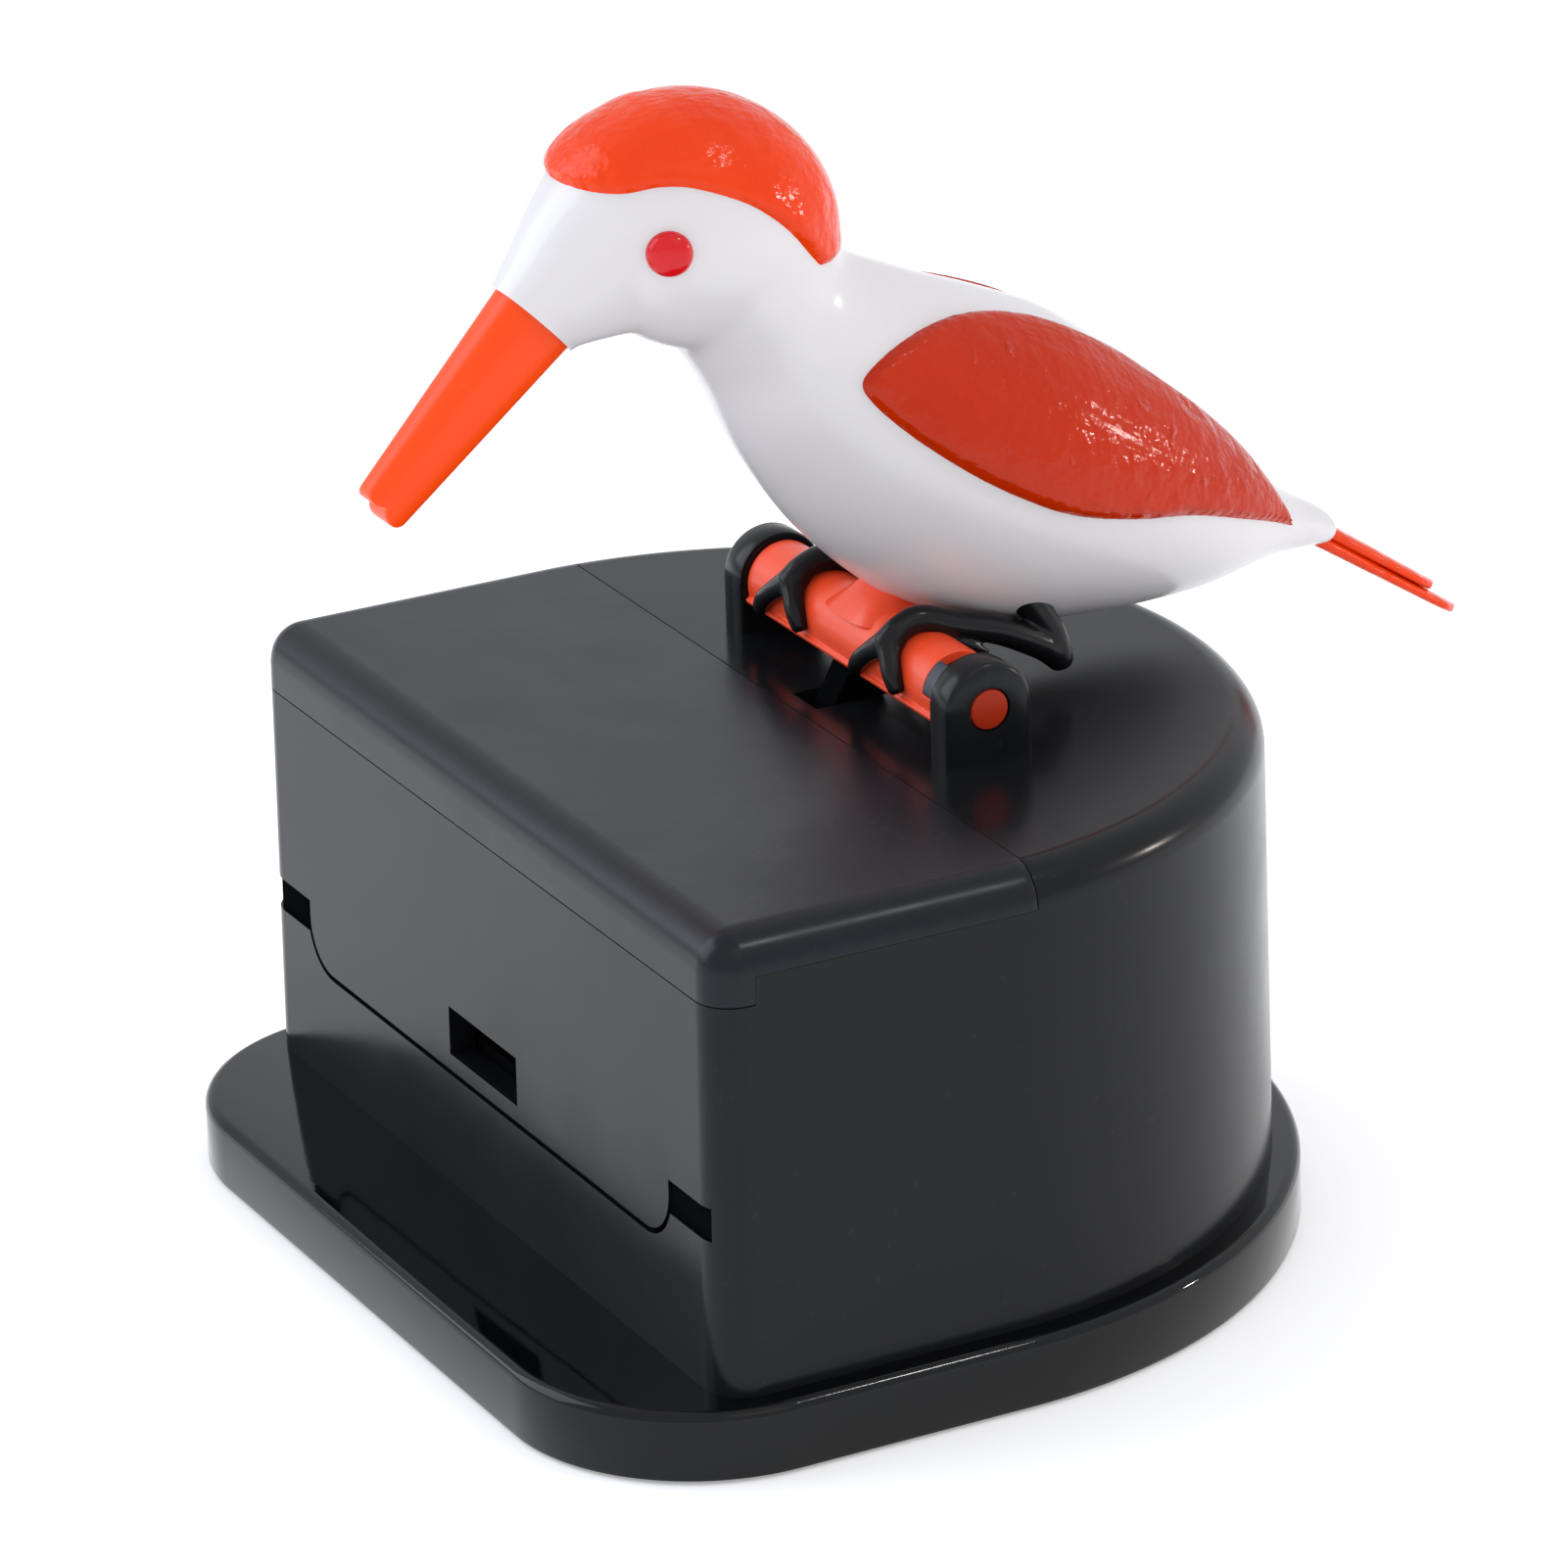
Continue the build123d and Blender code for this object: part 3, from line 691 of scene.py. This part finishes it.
def patch(name, outline, thick, soft, side, source):
    """Raised coat over the part of the skin inside a side-view outline.

    The side is -1 or 1 for one flank, and 0 for a coat across both.
    """
    mesh = source.data
    tree = BVHTree.FromObject(source, bpy.context.evaluated_depsgraph_get())
    dist, place = {}, {}
    for v in mesh.vertices:
        x, y, z = (c / MM for c in v.co)
        if side * x < -0.5:
            dist[v.index] = -9.0
            continue
        d, nearest = edge_distance((y, z), outline)
        across = Vector((0, y - nearest[0], z - nearest[1]))
        if across.length > 1e-6:
            d /= math.sqrt(max(0.05, 1 - across.normalized().dot(v.normal) ** 2))
        if abs(d) < SNAP:
            s = side or (1 if x > 0 else -1)
            spot, _, _, _ = tree.ray_cast(Vector((s * 50, *nearest)) * MM, Vector((-s, 0, 0)))
            if spot is None or (spot - v.co).length > MAX_MOVE * MM:
                spot, _, _, _ = tree.find_nearest(Vector((x, *nearest)) * MM)
            place[v.index] = spot / MM
            d = 0.0
        dist[v.index] = d
    verts, faces, index = [], [], {}
    for poly in mesh.polygons:
        if max(dist[i] for i in poly.vertices) < 0.0:
            continue
        for i in poly.vertices:
            if i not in index:
                v = mesh.vertices[i]
                t = max(0.0, min(1.0, dist[i] / soft))
                lift = RIM + (thick - RIM) * math.sqrt(1 - (1 - t) ** 2)
                if dist[i] < 0.0:
                    lift = -TUCK
                at = place.get(i, v.co / MM)
                index[i] = len(verts)
                verts.append(tuple(at + v.normal * lift))
        faces.append(tuple(index[i] for i in poly.vertices))
    return new_object(name, verts, faces, 80.0)


CAP = [(-19.0, 91.2), (-17.2, 90.3), (-15.2, 89.8), (-12.8, 89.7), (-10.2, 90.0), (-7.4, 89.7),
       (-3.6, 88.1), (-0.7, 85.9), (1.4, 83.6), (3.0, 81.7), (3.0, 81.7), (6.0, 81.4),
       (10.0, 82.0), (14.0, 86.0), (12.0, 94.0), (2.0, 100.0), (-12.0, 100.0), (-22.0, 97.0),
       (-21.5, 93.0)]
WING = [(5.3, 72.4), (7.4, 74.0), (10.4, 74.9), (13.6, 75.1), (16.5, 74.8), (20.4, 73.8),
        (25.0, 71.9), (29.6, 69.1), (33.6, 66.0), (38.2, 62.1), (42.0, 58.2), (44.6, 54.4),
        (46.6, 51.0), (46.6, 51.0), (42.3, 53.0), (34.7, 55.9), (28.3, 57.3), (22.4, 59.0),
        (17.9, 61.2), (13.5, 64.0), (9.3, 67.3), (6.2, 70.4)]
cap = patch("crest_cap", smooth_outline(CAP), 0.62, 1.1, 0, body)
finish_piece(cap, cap_paint, "bird", "paint_red", "cap")
for s, tag in ((-1, "left"), (1, "right")):
    wing = patch("wing_coat_" + tag, smooth_outline(WING), 0.75, 1.2, s, body)
    finish_piece(wing, red_paint, "bird", "paint_red", "wing_" + tag)
finish_piece(body, white, "bird", "white_gloss", "body_left", "body_right")

# Eyes are beads set into the skin where a ray from the side meets it.
tree = BVHTree.FromObject(body, bpy.context.evaluated_depsgraph_get())
for s, tag in ((-1, "left"), (1, "right")):
    hit, normal, _, _ = tree.ray_cast(Vector((s * 0.05, -0.0100, 0.0850)), Vector((-s, 0, 0)))
    centre = hit / MM - normal * 0.55
    u = normal.orthogonal().normalized()
    v = normal.cross(u)
    loops = []
    for r, h in ((1.75, -0.6), (1.82, 0.35), (1.78, 0.7), (1.6, 1.02), (1.25, 1.28), (0.8, 1.42),
                 (0.3, 1.48)):
        loops.append([tuple(p) for p in ring(centre + normal * h, u, v, r, 40)])
    eye = rings("eye_bead_" + tag, loops, 60.0)
    finish_piece(eye, eye_red, "bird", "eye_red", "eye_" + tag)


# ---------------------------------------------------------------- beak
def beak_loop(t):
    """Rounded box section of the beak; t runs from root (0) to tip (1)."""
    y = BEAK_ROOT[0] + (BEAK_TIP[0] - BEAK_ROOT[0]) * t
    z = BEAK_ROOT[1] + (BEAK_TIP[1] - BEAK_ROOT[1]) * t
    dy, dz = BEAK_TIP[0] - BEAK_ROOT[0], BEAK_TIP[1] - BEAK_ROOT[1]
    length = math.hypot(dy, dz)
    ny, nz = dz / length, -dy / length
    w = BEAK_HALF_WIDTH[0] + (BEAK_HALF_WIDTH[1] - BEAK_HALF_WIDTH[0]) * t
    d = BEAK_HALF_DEPTH[0] + (BEAK_HALF_DEPTH[1] - BEAK_HALF_DEPTH[0]) * t
    loop = []
    for k in range(72):
        a = 2 * math.pi * k / 72
        c, s = math.cos(a), math.sin(a)
        px, pd = w * boxy(c, 0.62), d * boxy(s, 0.62)
        if s > 0:
            px *= 1 - 0.22 * s
        loop.append((px, y + pd * ny, z + pd * nz))
    return loop


beak = rings("beak_bill", [beak_loop(t) for t in (-0.08, 0.2, 0.4, 0.6, 0.8, 0.96, 1.2)], 50.0)

# Two rounded lips at the tip, with a groove between them that holds the pick.
lips = [by_bill(BEAK_TIP, -30, 6), by_bill(BEAK_TIP, -30, -6), by_bill(BEAK_TIP, -1.2, -6)]
for across, reach, lip_r in ((-0.85, 0.55, 1.3), (1.3, 0.1, 0.85)):
    for k in range(17):
        a = math.pi * (k / 16 - 0.5)
        lips.append(by_bill(BEAK_TIP, reach - lip_r + lip_r * math.cos(a),
                            across + lip_r * math.sin(a)))
lips.append(by_bill(BEAK_TIP, -1.2, 6))
combine(beak, prism("c", lips, "X", -6, 6), "INTERSECT")
melt(beak, 0.16, 7)
tidy(beak, 60.0)
finish_piece(beak, orange, "bird", "orange_gloss", "beak")

# ---------------------------------------------------------------- tail
def blade(name, root, end, half0, half1, thick, node):
    """Flat feather group with a domed back and a rounded tip."""
    dy, dz = end[0] - root[0], end[1] - root[1]
    length = math.hypot(dy, dz)
    dy, dz = dy / length, dz / length
    ny, nz = -dz, dy
    loops = []
    for k in range(21):
        t = k / 20
        half = half0 + (half1 - half0) * t
        if t > 0.82:
            half *= math.sqrt(max(0.02, 1 - ((t - 0.82) / 0.185) ** 2))
        th = thick * (1 - 0.35 * t)
        loop = []
        for j in range(28):
            a = 2 * math.pi * j / 28
            c, s = math.cos(a), math.sin(a)
            px = half * boxy(c, 0.5)
            pn = th * boxy(s, 0.7) + 0.12 * (1 - (px / half0) ** 2)
            loop.append((px, root[0] + dy * length * t + ny * pn,
                         root[1] + dz * length * t + nz * pn))
        loops.append(loop)
    obj = rings(name, loops, 50.0)
    finish_piece(obj, cap_paint, "bird", "paint_red", node)


blade("tail_feather_upper", (48.6, 50.55), (62.2, 41.3), 2.2, 2.3, 0.62, "tail_upper")
blade("tail_feather_lower", (48.6, 49.35), (64.2, 38.9), 2.5, 2.6, 0.62, "tail_lower")

# ---------------------------------------------------------------- carried-over nodes
for node, mat in (("base_pads", rubber), ("base_screws", steel), ("hopper", dark),
                  ("feed_track", dark), ("feed_slide", grey), ("crank_arm", dark),
                  ("crank_pin", steel), ("return_spring", steel)):
    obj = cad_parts[node]
    obj.data.materials.clear()
    obj.data.materials.append(mat)

# ---------------------------------------------------------------- studio
floor_mat, _, _, bsdf = material("pale floor", (0.97, 0.97, 0.975), 0.7)
bpy.ops.mesh.primitive_plane_add(size=6.0, location=(0, 0, -0.0002))
floor = bpy.context.object
floor.name = "floor"
floor.data.materials.append(floor_mat)
bsdf.inputs["Emission Color"].default_value = (1, 1, 1, 1)
bsdf.inputs["Emission Strength"].default_value = 0.28

world = bpy.data.worlds.new("studio")
bpy.context.scene.world = world
world.use_nodes = True
world.node_tree.nodes["Background"].inputs["Color"].default_value = (0.97, 0.985, 1.02, 1)
world.node_tree.nodes["Background"].inputs["Strength"].default_value = 0.86


def area(name, location, size, power, target=(0, 0, 0.05), colour=(1, 1, 1)):
    light = bpy.data.lights.new(name, "AREA")
    light.shape = "RECTANGLE"
    light.size, light.size_y = size
    light.energy = power
    light.color = colour
    obj = bpy.data.objects.new(name, light)
    bpy.context.scene.collection.objects.link(obj)
    obj.location = location
    aim = Vector(target) - Vector(location)
    obj.rotation_euler = aim.to_track_quat("-Z", "Y").to_euler()
    return obj


area("key", (-0.45, -0.62, 0.50), (0.7, 0.7), 3.6, colour=(0.80, 0.87, 1.0))
area("fill", (0.9, 0.1, 0.9), (0.6, 0.6), 0.5, colour=(1.0, 0.88, 0.75))
area("spark", (0.42, 0.40, 0.80), (0.05, 0.05), 0.6)
area("spark_rear", (0.38, 0.95, 0.26), (0.05, 0.05), 1.2, colour=(1.0, 0.92, 0.85))

camera_data = bpy.data.cameras.new("camera")
camera = bpy.data.objects.new("camera", camera_data)
bpy.context.scene.collection.objects.link(camera)
bpy.context.scene.camera = camera
camera_data.sensor_width = 36.0
camera_data.lens = 198.0
AZ, EL, ROLL = math.radians(62.46), math.radians(22.44), math.radians(-1.62)
back = Vector((math.sin(AZ) * math.cos(EL), -math.cos(AZ) * math.cos(EL), math.sin(EL)))
right = Vector((math.cos(AZ), math.sin(AZ), 0))
up = back.cross(right)
right, up = right * math.cos(ROLL) + up * math.sin(ROLL), up * math.cos(ROLL) - right * math.sin(ROLL)
TARGET, DISTANCE = Vector((0, 0.0053, 0.030)), 0.68587
PAN, TILT = -0.00404, 0.00793                # slopes of the optical axis off the target
position = TARGET + back * DISTANCE
ahead = (-back + right * PAN + up * TILT).normalized()
right = ahead.cross(up).normalized()
up = right.cross(ahead)
turn = Matrix((right, up, -ahead)).transposed().to_4x4()
camera.matrix_world = Matrix.Translation(position) @ turn
camera_data.clip_start = 0.01
camera_data.clip_end = 20.0

bpy.context.scene.view_settings.view_transform = "Standard"
